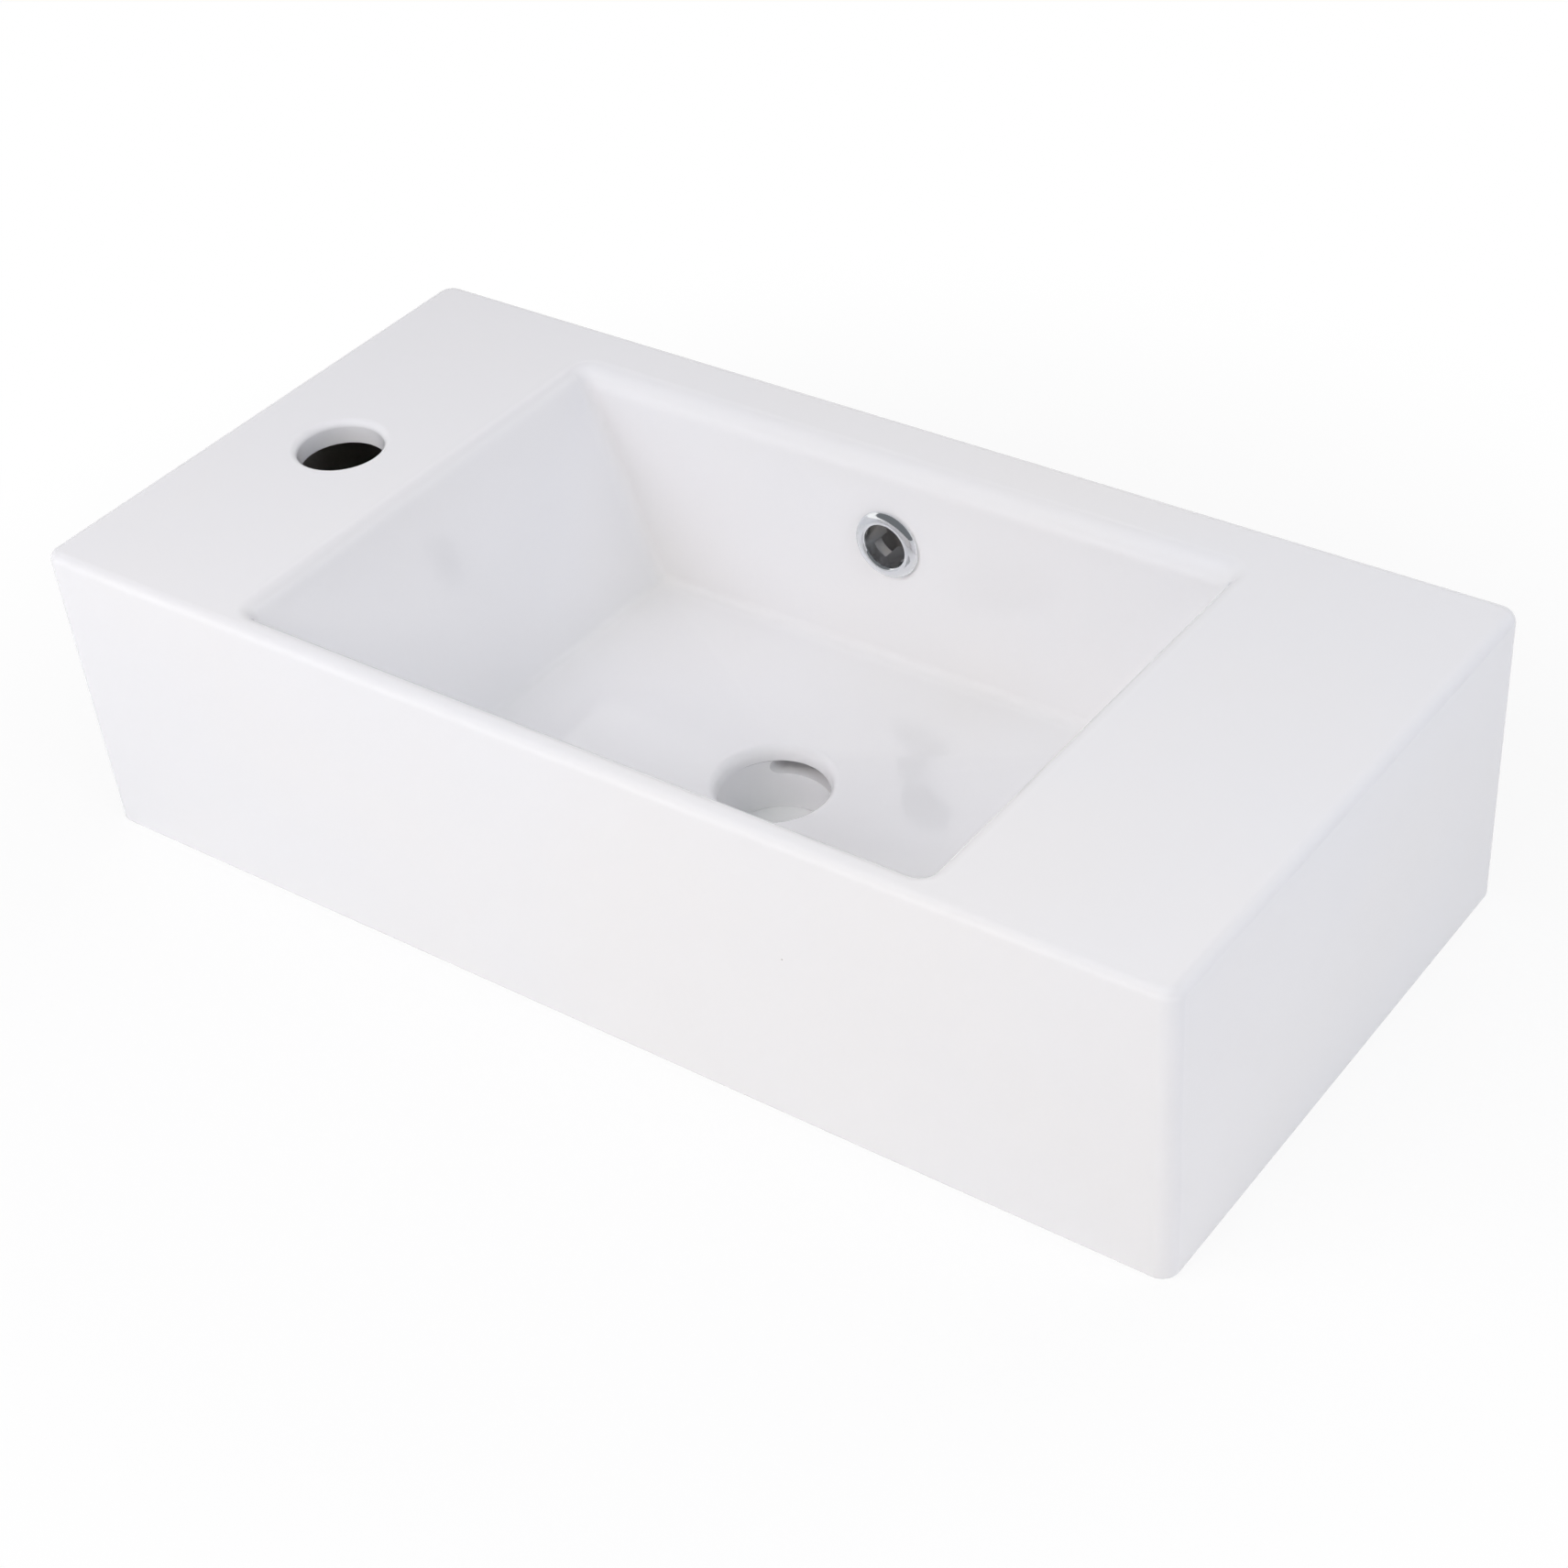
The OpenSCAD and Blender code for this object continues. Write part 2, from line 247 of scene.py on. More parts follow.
def crisp(thing: bpy.types.Object, angle: float) -> None:
    """Shades a solid smooth, with sharp edges where its faces turn by more than an angle.

    The weighted normals then keep the large flat faces flat beside their rounded edges.

    Args:
        thing: The solid, whose modifiers get one more.
        angle: The turn in degrees from which an edge is sharp.
    """
    mesh = thing.data
    mesh.polygons.foreach_set("use_smooth", np.ones(len(mesh.polygons), dtype=bool))
    mesh.set_sharp_from_angle(angle=math.radians(angle))
    even = thing.modifiers.new("even_normals", "WEIGHTED_NORMAL")
    even.keep_sharp = True
    even.weight = FLAT_WEIGHT


# Finishes


class Value:
    """A socket in a node tree, with arithmetic that adds Math nodes."""

    def __init__(self, graph: "Graph", socket: bpy.types.NodeSocket | None) -> None:
        """Keeps the graph and the socket, which is None for a node without outputs."""
        self.graph = graph
        self.socket = socket

    def _math(self, operation: str, *others: Any) -> "Value":
        """One Math node on this value and others."""
        inputs = {0: self, **{index + 1: other for index, other in enumerate(others)}}
        return self.graph.node("ShaderNodeMath", {"operation": operation}, inputs)

    def __add__(self, other: Any) -> "Value":
        """The sum."""
        return self._math("ADD", other)

    def __mul__(self, other: Any) -> "Value":
        """The product."""
        return self._math("MULTIPLY", other)

    def __rsub__(self, other: float) -> "Value":
        """A number less this value."""
        return self.graph.node("ShaderNodeMath", {"operation": "SUBTRACT"}, {0: other, 1: self})

    __radd__ = __add__
    __rmul__ = __mul__

    def most(self, other: Any) -> "Value":
        """The larger of two values."""
        return self._math("MAXIMUM", other)

    def ramp(self, low: float, high: float) -> "Value":
        """A smooth step: 0 up to low, 1 from high on."""
        settings = {"interpolation_type": "SMOOTHSTEP"}
        inputs = {"Value": self, "From Min": low, "From Max": high}
        return self.graph.node("ShaderNodeMapRange", settings, inputs)


class Graph:
    """A node tree that is filled by one method."""

    def __init__(self, tree: bpy.types.NodeTree) -> None:
        """Empties the tree."""
        self.tree = tree
        tree.nodes.clear()

    def node(self, kind: str, settings: Mapping[str, Any] | None = None,
             inputs: Mapping[Any, Any] | None = None, output: Any = 0) -> Value:
        """Adds one node.

        Args:
            kind: The node's type.
            settings: Its properties, which are set first.
            inputs: Values or links, by the socket's name or number.
            output: The name or number of the output that is wanted.

        Returns:
            That output.
        """
        made = self.tree.nodes.new(kind)
        for key, value in (settings or {}).items():
            setattr(made, key, value)
        for key, value in (inputs or {}).items():
            if isinstance(value, Value):
                self.tree.links.new(value.socket, made.inputs[key])
            else:
                made.inputs[key].default_value = value
        return Value(self, made.outputs[output] if len(made.outputs) else None)

    def blend(self, share: Value, first: Colour | Value, second: Colour | Value) -> Value:
        """A colour that goes from first to second as share goes from 0 to 1.

        The Mix node takes its two colours at sockets 6 and 7 and gives the mixed one at output 2.
        """
        settings = {"data_type": "RGBA", "clamp_factor": True}
        return self.node("ShaderNodeMix", settings, {0: share, 6: first, 7: second}, output=2)

    def grain(self, place: Value, scale: float, detail: float = 2.0, rough: float = 0.5) -> Value:
        """Noise from 0 to 1 over Object coordinates."""
        inputs = {"Vector": place, "Scale": scale, "Detail": detail, "Roughness": rough}
        return self.node("ShaderNodeTexNoise", None, inputs)

    def place(self) -> Value:
        """Object coordinates, which are the row frame in metres."""
        return self.node("ShaderNodeTexCoord", output="Object")


def material(name: str) -> tuple[bpy.types.Material, Graph]:
    """A new material and its empty graph."""
    made = bpy.data.materials.new(name)
    made.use_nodes = True
    return made, Graph(made.node_tree)


@dataclass(frozen=True)
class Glaze:
    """White sanitary glaze, with the fired body bare where no glaze was put."""

    white: Colour = (0.9, 0.9, 0.911, 1.0)
    warm: Colour = (0.911, 0.9, 0.893, 1.0)
    body: Colour = (0.70, 0.67, 0.62, 1.0)
    speck: Colour = (0.42, 0.38, 0.33, 1.0)
    gloss: float = 0.055
    gloss_drift: float = 0.03
    gloss_scale: float = 9.0
    bare_roughness: float = 0.8
    ior: float = 1.5
    coat: float = 0.35
    coat_roughness: float = 0.02
    cloud_scale: float = 5.0
    cloud_span: Pair = (0.35, 0.7)
    ripple_scale: float = 26.0
    ripple_height: float = 0.00012
    grit_scale: float = 900.0
    grit_height: float = 0.00004
    grit_shade: float = 0.86
    speck_scale: float = 42.0
    speck_size: Pair = (0.008, 0.016)
    speck_patch_scale: float = 11.0
    speck_patch_span: Pair = (0.66, 0.7)

    def make(self) -> bpy.types.Material:
        """Builds the material.

        Returns:
            A glossy white that drifts slightly in tint and gloss, lies in shallow ripples and
            holds a few pin specks; where the bare mask is 1 it is matte, warm and gritty.
        """
        made, graph = material("white_glaze")
        place = graph.place()
        bare = graph.node("ShaderNodeAttribute", {"attribute_name": BARE}, None, "Fac")
        cloud = graph.grain(place, self.cloud_scale, detail=3.0).ramp(*self.cloud_span)
        tint = graph.blend(cloud, self.white, self.warm)
        cells = {"Vector": place, "Scale": self.speck_scale}
        near = graph.node("ShaderNodeTexVoronoi", {"feature": "F1"}, cells, "Distance")
        patch = graph.grain(place, self.speck_patch_scale, detail=0.0).ramp(*self.speck_patch_span)
        speck = (1.0 - near.ramp(*self.speck_size)) * patch
        tint = graph.blend(speck, tint, self.speck)
        grit = graph.grain(place, self.grit_scale, detail=4.0, rough=0.7)
        shaded = tuple(self.grit_shade * part for part in self.body[:3]) + (1.0,)
        body = graph.blend(grit, self.body, shaded)
        colour = graph.blend(bare, tint, body)
        gloss = self.gloss + self.gloss_drift * graph.grain(place, self.gloss_scale)
        roughness = gloss + bare * (self.bare_roughness - self.gloss)
        ripple = graph.grain(place, self.ripple_scale, detail=1.0) * self.ripple_height * (1.0 - bare)
        height = ripple + grit * bare * self.grit_height
        bump = graph.node("ShaderNodeBump", None, {"Strength": 1.0, "Distance": 1.0, "Height": height})
        skin = graph.node("ShaderNodeBsdfPrincipled", None, {
            "Base Color": colour, "Roughness": roughness, "IOR": self.ior, "Normal": bump,
            "Coat Weight": self.coat * (1.0 - bare), "Coat Roughness": self.coat_roughness,
            "Coat IOR": self.ior})
        graph.node("ShaderNodeOutputMaterial", None, {"Surface": skin})
        return made


@dataclass(frozen=True)
class Chrome:
    """Bright chrome plate with faint polishing marks."""

    plate: Colour = (0.92, 0.93, 0.94, 1.0)
    haze: Colour = (0.82, 0.84, 0.86, 1.0)
    gloss: float = 0.05
    drift: float = 0.07
    cloud_scale: float = 160.0
    mark_scale: float = 420.0
    mark_height: float = 0.00001

    def make(self) -> bpy.types.Material:
        """Builds the material.

        Returns:
            A mirror metal whose tint and gloss drift slightly, over a very fine bump.
        """
        made, graph = material("chrome_plate")
        place = graph.place()
        cloud = graph.grain(place, self.cloud_scale, detail=3.0)
        marks = graph.grain(place, self.mark_scale, detail=3.0, rough=0.6)
        bump = graph.node("ShaderNodeBump", None, {
            "Strength": 1.0, "Distance": 1.0, "Height": marks * self.mark_height})
        skin = graph.node("ShaderNodeBsdfPrincipled", None, {
            "Base Color": graph.blend(cloud, self.plate, self.haze), "Metallic": 1.0,
            "Roughness": self.gloss + self.drift * marks, "Normal": bump})
        graph.node("ShaderNodeOutputMaterial", None, {"Surface": skin})
        return made


# Pieces


@dataclass(frozen=True)
class Wall:
    """One wall of the bowl in section: a lip arc, a straight leaning wall and a foot arc."""

    lip: float
    lean: float
    foot: float
    depth: float

    def straight(self, depth: Real) -> Real:
        """Distance in from the mouth of the straight part: the lip's run, then depth times slope."""
        lean = math.radians(self.lean)
        return self.lip * math.cos(lean) + (depth - self.lip * (1 - math.sin(lean))) * math.tan(lean)

    def inset(self, depth: Real, grow: float) -> Array:
        """Distance in from the mouth at a depth below the deck.

        The lip is a circle that starts level at the mouth, the foot is a circle that ends level
        on the floor, and the straight wall is tangent to both.

        Args:
            depth: Depths below the deck.
            grow: How far the surface is moved outwards, for the wall's outside.

        Returns:
            One distance for each depth.
        """
        lean = math.radians(self.lean)
        foot_depth = self.depth - self.foot
        centre = self.straight(foot_depth) + self.foot / math.cos(lean)
        lip = np.sqrt(np.maximum(0, self.lip ** 2 - (self.lip - depth) ** 2))
        wall = self.straight(depth) - grow / math.cos(lean)
        foot = centre - np.sqrt(np.maximum(0, (self.foot + grow) ** 2 - (depth - foot_depth) ** 2))
        wall = np.where(depth < foot_depth + (self.foot + grow) * math.sin(lean), wall, foot)
        in_lip = (depth < self.lip * (1 - math.sin(lean))) & (grow == 0)
        return np.where(in_lip, lip, wall)


@dataclass(frozen=True)
class BasinBody:
    """The fired ceramic body, with its bowl, holes, hollow and overflow passage.

    Names that end in _r are radii, in _t thicknesses, in _w widths, in _h heights, in _lean
    degrees from upright, and in _x, _y and _z places. The drafts are how far a face leans in
    over the whole height.
    """

    width: float = 501.0
    depth: float = 241.0
    height: float = 130.0
    end_draft: float = 3.4
    front_draft: float = 1.6
    corner_r: float = 7.0
    back_corner_r: float = 7.5
    deck_edge_r: float = 4.0
    end_edge_r: float = 5.0
    foot_edge_r: float = 2.0
    deck_t: float = 10.0
    skirt_t: float = 9.0
    bowl_t: float = 9.0
    hollow_r: float = 8.0
    mouth_w: float = 316.0
    front_rim: float = 4.75
    back_deck: float = 21.5
    end_lip_r: float = 7.0
    back_lip_r: float = 9.5
    front_lip_r: float = 6.25
    end_lean: float = 20.0
    back_lean: float = 1.7
    front_lean: float = 3.0
    bowl_depth: float = 92.0
    floor_fall: float = 6.5
    bowl_corner_r: float = 5.0
    foot_r: float = 4.5
    waste_r: float = 22.0
    waste_y: float = 4.0
    outlet_x: float = -1.5
    waste_lip_r: float = 4.0
    waste_lip_h: float = 6.0
    waste_undercut: float = 0.6
    waste_land: float = 1.0
    floor_ease: float = 1.5
    boss_t: float = 10.0
    seat_z: float = 2.0
    tap_r: float = 17.5
    tap_x: float = -200.5
    tap_y: float = -4.0
    tap_lip_r: float = 3.0
    overflow_r: float = 11.0
    overflow_drop: float = 37.0
    duct_w: float = 30.0
    duct_h: float = 7.0
    duct_cover: float = 6.0
    duct_round: float = 0.48
    duct_t: float = 7.0
    fixing_spacing: float = 380.0
    fixing_r: float = 8.0
    fixing_z: float = 85.0
    least_r: float = 0.6
    past: float = 2.0
    arc: int = 12
    side: int = 14
    lip_steps: int = 14
    waste_steps: int = 10
    edge_steps: int = 8
    hollow_steps: int = 6
    floor_steps: int = 12
    bore_steps: int = 128
    crease: float = 28.0

    @property
    def ring_points(self) -> int:
        """How many points each outline has."""
        return 4 * (self.arc + 1 + self.side)

    @property
    def floor_z(self) -> float:
        """Height of the floor at the foot of the bowl's walls."""
        return self.height - self.bowl_depth

    @property
    def waste_rim_z(self) -> float:
        """Height of the floor at the waste hole."""
        return self.floor_z - self.floor_fall

    @property
    def waste_throat_r(self) -> float:
        """Radius at the top of the waste's lip."""
        return self.waste_r + self.waste_lip_r

    @property
    def mouth_back(self) -> float:
        """Where the back lip starts to turn down."""
        return self.depth / 2 - self.back_deck

    def wall(self, lip: float, lean: float) -> Wall:
        """One of the bowl's walls."""
        return Wall(lip, lean, self.foot_r, self.bowl_depth)

    def shell(self, z: Real, inset: Real, front_in: Real, radii: tuple[Real, Real]) -> Array:
        """Outlines of the leaning outer faces.

        Each end leans in by end_draft, and the front by front_draft, in proportion to the
        distance below the deck.

        Args:
            z: Heights.
            inset: How far the ends and the back are drawn in.
            front_in: How far the front is drawn in.
            radii: Radii of the back corners and of the front ones.

        Returns:
            Points as rings by points by three.
        """
        fall = (self.height - z) / self.height
        end = self.width / 2 - self.end_draft * fall - inset
        front = -self.depth / 2 + self.front_draft * fall + front_in
        return rounded((-end, end), (front, self.depth / 2 - inset), radii, z, self.arc, self.side)

    def deck_edge(self, depth: Array) -> Array:
        """Outer outlines at depths below the deck.

        Each edge is a quarter circle: it draws its face in by its radius less the root of that
        radius squared less the square of what is left of the radius below the deck.

        Args:
            depth: Depths below the deck.

        Returns:
            Points as rings by points by three.
        """
        inset, front_in = (np.where(depth < r, r - np.sqrt(np.maximum(0, r ** 2 - (r - depth) ** 2)), 0)
                           for r in (self.end_edge_r, self.deck_edge_r))
        back_r = np.maximum(self.least_r, self.back_corner_r - inset)
        front_r = np.maximum(self.least_r, self.corner_r - np.maximum(inset, front_in))
        return self.shell(self.height - depth, inset, front_in, (back_r, front_r))

    def plan_radius(self, depth: Array, grow: float) -> Array:
        """Radius of the bowl's plan corners: wide at the lip and nearly sharp on the floor.

        It widens on a circle of the end lip's radius near the deck and closes on one of the
        foot's radius near the floor.

        Args:
            depth: Depths below the deck.
            grow: How far the surface is moved outwards. Above 0, the radius is the same all over.

        Returns:
            One radius for each depth.
        """
        if grow > 0:
            return np.full(np.shape(depth), self.bowl_corner_r + grow)
        lip = np.sqrt(np.maximum(0, self.end_lip_r ** 2 - (self.end_lip_r - depth) ** 2))
        wide = self.bowl_corner_r + self.end_lip_r - lip
        low = depth - (self.bowl_depth - self.foot_r)
        tight = self.bowl_corner_r - self.foot_r + np.sqrt(np.maximum(0, self.foot_r ** 2 - low ** 2))
        radius = np.where(depth < self.end_lip_r, wide, self.bowl_corner_r)
        return np.where(low > 0, np.maximum(self.least_r, tight), radius)

    def bowl(self, depth: Array, grow: float) -> Array:
        """Outlines of the bowl at depths below the deck, moved outwards by grow."""
        ends = self.wall(self.end_lip_r, self.end_lean).inset(depth, grow)
        front = self.wall(self.front_lip_r, self.front_lean).inset(depth, grow)
        back = self.wall(self.back_lip_r, self.back_lean).inset(depth, grow)
        half = self.mouth_w / 2 - ends
        mouth_front = -self.depth / 2 + self.front_rim
        radius = self.plan_radius(depth, grow)
        return rounded((-half, half), (mouth_front + front, self.mouth_back - back), (radius, radius),
                       self.height - depth, self.arc, self.side)

    def waste_circles(self, radius: Numbers, z: Numbers) -> Array:
        """Rings about the waste hole with as many points as an outline.

        The middle of an outline's first corner arc stands at 45 degrees, and so it does here.
        """
        first = 45 - 360 * (self.arc / 2) / self.ring_points
        return circles(radius, z, self.ring_points, (self.outlet_x, self.waste_y), first)

    def visible_surface(self) -> Array:
        """Rings from the waste hole's foot up over floor, walls, lip and deck, and down outside.

        Every rounded edge is a quarter circle, but the waste's lip is a quarter ellipse that
        ends in a crisp edge over a slightly wider pipe. The floor goes straight out from the
        land round that lip to the foot of the walls, and rises by its fall times 1 less the share
        of the way that is left, to the power of floor_ease, so that it is level at the walls.
        """
        turn = quarter(self.waste_steps)
        lip = self.waste_circles(self.waste_r + self.waste_lip_r * (1 - np.cos(turn)),
                                 self.waste_rim_z - self.waste_lip_h * (1 - np.sin(turn)))
        step = self.waste_rim_z - self.waste_lip_h - self.waste_undercut
        pipe = self.waste_circles(self.waste_r + self.waste_undercut, [0.0, step])
        land = self.waste_circles(self.waste_throat_r + self.waste_land, self.waste_rim_z)
        share = np.linspace(0, 1, self.floor_steps + 1)[:-1, None, None]
        edge = self.bowl(np.array([self.bowl_depth]), 0)
        floor = land + (edge - land) * share
        floor[..., 2] = self.waste_rim_z + self.floor_fall * (1 - (1 - share[..., 0]) ** self.floor_ease)
        foot_turn = quarter(self.edge_steps, 90, 0)
        foot = self.bowl(self.bowl_depth - self.foot_r * (1 - np.sin(foot_turn)), 0)
        lip_max = max(self.end_lip_r, self.back_lip_r, self.front_lip_r)
        lip_turn = quarter(self.lip_steps, 90, 0)
        mouth = self.bowl(lip_max * (1 - np.cos(lip_turn)), 0)
        deck = self.deck_edge(max(self.deck_edge_r, self.end_edge_r) * (1 - np.sin(lip_turn)))
        rim_turn = quarter(self.edge_steps)
        rim = self.foot_edge_r * (1 - np.cos(rim_turn))
        skirt = self.shell(self.foot_edge_r * (1 - np.sin(rim_turn)), rim, rim,
                           (self.back_corner_r - rim, self.corner_r - rim))
        return np.concatenate([pipe, lip, floor, foot, mouth, deck, skirt])

    def hollow(self) -> bpy.types.Object:
        """The space under the deck, less the bowl's jacket, the outlet boss and the passage."""
        turn = quarter(self.hollow_steps)
        inset = self.hollow_r * (1 - np.cos(turn))
        corner = self.hollow_r + self.least_r
        top_z = self.height - self.deck_t
        wall, radius = self.skirt_t + inset, corner - inset
        rings = np.concatenate([
            self.shell(-self.past, self.skirt_t, self.skirt_t, (corner, corner)),
            self.shell(top_z - self.hollow_r * (1 - np.sin(turn)), wall, wall, (radius, radius))])
        space = solid("hollow", rings, bare=1.0)
        throat = self.waste_throat_r + self.waste_land
        foot_turn = quarter(self.edge_steps, 90, 0)
        foot = self.bowl_depth - self.foot_r + (self.foot_r + self.bowl_t) * np.sin(foot_turn)
        jacket = solid("jacket", np.concatenate([
            self.waste_circles(throat, self.waste_rim_z - self.bowl_t),
            self.bowl(foot, self.bowl_t),
            self.bowl(np.array([self.deck_t / 2]), self.bowl_t)]), bare=1.0)
        boss = solid("boss", circles(self.waste_r + self.boss_t, [self.seat_z, self.floor_z],
                                     self.bore_steps, (self.outlet_x, self.waste_y)), bare=1.0)
        half = self.duct_w / 2 + self.duct_t
        rib_r = self.duct_t / 2
        low = self.duct_floor_z - self.duct_t
        back = self.depth / 2 - self.skirt_t + self.past
        run = self.run("run_walls", half, (low, self.floor_z), rib_r, back, 1.0)
        front = self.duct_front_y - self.bowl_t / 2
        shaft = slab("shaft_walls", (self.outlet_x - half, front, low + rib_r),
                     (self.outlet_x + half, back, self.height - self.deck_t / 2), 1.0)
        return carve(space, [(Act.CUT, part) for part in (jacket, boss, run, shaft)])

    def run(self, name: str, half: float, heights: tuple[float, float], radius: float,
            back: float, bare: float) -> bpy.types.Object:
        """A bar of rounded section that runs back from the waste hole.

        Args:
            name: The object's name.
            half: Half its width.
            heights: Its lowest and its highest height.
            radius: Radius of its long edges.
            back: Where it ends.
            bare: 1 where its surface stays unglazed.

        Returns:
            The bar.
        """
        span = (self.outlet_x - half, self.outlet_x + half)
        section = rounded(span, heights, (radius, radius), np.array([self.waste_y, back]), self.arc, 0)
        return solid(name, section[..., [0, 2, 1]], bare=bare)

    @property
    def duct_floor_z(self) -> float:
        """Height of the floor of the passage under the bowl."""
        return self.waste_rim_z - self.duct_cover - self.duct_h

    @property
    def duct_front_y(self) -> float:
        """Front of the shaft behind the bowl, which is the outside of its back wall."""
        back = self.wall(self.back_lip_r, self.back_lean)
        return self.mouth_back - float(back.inset(self.overflow_drop, self.bowl_t))

    def on_overflow(self) -> Matrix:
        """Places a thing on the bowl's back wall at the overflow, with its Z out of the wall."""
        back = self.wall(self.back_lip_r, self.back_lean)
        y = self.mouth_back - float(back.inset(self.overflow_drop, 0))
        place = np.array([self.outlet_x, y, self.height - self.overflow_drop]) * MM
        return Matrix.Translation(place) @ Matrix.Rotation(math.radians(90 - self.back_lean), 4, "X")

    def passages(self) -> list[bpy.types.Object]:
        """The overflow passage in two bars: the run under the floor and the shaft behind the bowl."""
        back = self.depth / 2 - self.skirt_t
        half = self.duct_w / 2
        radius = self.duct_h * self.duct_round
        crown = self.height - self.overflow_drop + self.overflow_r
        heights = (self.duct_floor_z, self.duct_floor_z + self.duct_h)
        plan = rounded((self.outlet_x - half, self.outlet_x + half), (self.duct_front_y, back),
                       (radius, radius), np.array([self.duct_floor_z + radius, crown]), self.arc, 0)
        return [self.run("run", half, heights, radius, back, 0.0), solid("shaft", plan)]

    def bores(self) -> list[bpy.types.Object]:
        """Solids of the tap hole, the overflow hole and the two fixing holes."""
        turn = quarter(self.edge_steps)
        radius = self.tap_r + self.tap_lip_r * (1 - np.cos(turn))
        z = self.height - self.tap_lip_r * (1 - np.sin(turn))
        low = self.height - self.deck_t - self.past
        rings = circles(np.concatenate([[self.tap_r], radius, radius[-1:]]),
                        np.concatenate([[low], z, [self.height + self.past]]), self.bore_steps,
                        (self.tap_x, self.tap_y))
        tap = solid("tap_bore", rings)
        reach = self.bowl_t + self.past
        overflow = solid("overflow_bore", circles(self.overflow_r, [-reach, self.past], self.bore_steps))
        overflow.data.transform(self.on_overflow())
        made = [tap, overflow]
        for side in (-1, 1):
            hole = circles(self.fixing_r, [0, self.skirt_t + 2 * self.past], self.bore_steps)
            x, across, along = hole[..., 0], hole[..., 1], hole[..., 2]
            place = np.stack([x + side * self.fixing_spacing / 2,
                              self.depth / 2 + self.past - along, self.fixing_z + across], axis=-1)
            made.append(solid("fixing_bore", place, bare=1.0))
        return made

    def make(self, glaze: bpy.types.Material) -> bpy.types.Object:
        """Builds the body and dresses it.

        Args:
            glaze: The finish, whose bare mask is set inside the hollow.

        Returns:
            The finished piece.
        """
        body = solid("basin_ceramic", self.visible_surface(), looped=True)
        steps = [self.hollow(), *self.passages(), *self.bores()]
        carve(body, [(Act.CUT, tool) for tool in steps])
        body.data.materials.append(glaze)
        crisp(body, self.crease)
        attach(body, BODY)
        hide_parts("basin_body")
        return body


@dataclass(frozen=True)
class OverflowRing:
    """The chromed ring in the overflow hole: a domed flange, a collar and spring legs."""

    hole_r: float = 11.0
    lap: float = 3.5
    flange_h: float = 3.0
    wall: float = 1.4
    play: float = 0.3
    seat_gap: float = 0.1
    collar: float = 3.0
    legs: int = 4
    leg_w: float = 7.0
    leg_reach: float = 3.0
    barb: float = 0.8
    barb_gap: float = 0.6
    bowl_t: float = 9.0
    past: float = 2.0
    dome_steps: int = 12
    roll_steps: int = 8
    turn_steps: int = 128
    crease: float = 35.0

    @property
    def sleeve_r(self) -> float:
        """Outer radius of the sleeve, which clears the hole by the play."""
        return self.hole_r - self.play

    @property
    def bore_r(self) -> float:
        """Inner radius of the ring."""
        return self.sleeve_r - self.wall

    @property
    def sleeve_len(self) -> float:
        """How far the legs reach behind the wall's face."""
        return self.bowl_t + self.leg_reach

    def tube(self, name: str, outline: Array) -> bpy.types.Object:
        """A closed section in radius and height, turned about the axis.

        Args:
            name: The object's name.
            outline: Points of the section, as radius and height in millimetres.

        Returns:
            The turned solid.
        """
        return solid(name, circles(outline[:, 0], outline[:, 1], self.turn_steps), looped=True)

    def flange(self) -> bpy.types.Object:
        """The flange and its collar.

        Outside, the dome is a quarter ellipse from the flange's edge up to the crest. Inside,
        a quarter circle rolls over from the crest into the bore.
        """
        roll = self.wall
        crest_r = self.bore_r + roll
        edge_r = self.hole_r + self.lap
        up, over = quarter(self.dome_steps), quarter(self.roll_steps, 90, 180)
        dome = np.column_stack([crest_r + (edge_r - crest_r) * np.cos(up),
                                self.seat_gap + self.flange_h * np.sin(up)])
        lip = np.column_stack([crest_r + roll * np.cos(over),
                               self.seat_gap + self.flange_h - roll * (1 - np.sin(over))])
        back = np.array([[self.bore_r, -self.collar], [self.sleeve_r, -self.collar],
                         [self.sleeve_r, self.seat_gap]])
        return self.tube("overflow_ring_chrome", np.concatenate([dome, lip[1:], back]))

    def legs_solid(self) -> bpy.types.Object:
        """The spring legs: a barbed sleeve crossed with one upright block for each leg."""
        low, shoulder = -self.sleeve_len, -self.bowl_t - self.barb_gap
        section = np.array([[self.bore_r, low], [self.sleeve_r, low], [self.sleeve_r + self.barb, shoulder],
                            [self.sleeve_r, shoulder], [self.sleeve_r, -self.collar / 2],
                            [self.bore_r, -self.collar / 2]])
        sleeve = self.tube("sleeve", section)
        blocks = None
        for index in range(self.legs):
            block = slab("leg_block", (0, -self.leg_w / 2, low - self.past),
                         (self.hole_r + self.lap, self.leg_w / 2, 0), 0.0)
            block.data.transform(Matrix.Rotation(2 * math.pi * index / self.legs, 4, "Z"))
            blocks = carve(blocks, [(Act.JOIN, block)]) if blocks else block
        return carve(sleeve, [(Act.CROSS, blocks)])

    def make(self, chrome: bpy.types.Material, place: Matrix) -> bpy.types.Object:
        """Builds the ring, places it in the wall and dresses it.

        Args:
            chrome: The finish.
            place: Where the ring's own frame stands in the row frame.

        Returns:
            The finished piece.
        """
        ring = carve(self.flange(), [(Act.JOIN, self.legs_solid())])
        ring.data.transform(place)
        ring.data.materials.append(chrome)
        crisp(ring, self.crease)
        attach(ring, BODY)
        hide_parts("overflow_ring")
        return ring


# Studio


def outward(azimuth: float, elevation: float) -> Array:
    """The unit vector to a compass point in degrees, from the front, and a height in degrees."""
    turn, lift = math.radians(azimuth), math.radians(elevation)
    return np.array([math.sin(turn) * math.cos(lift), -math.cos(turn) * math.cos(lift), math.sin(lift)])


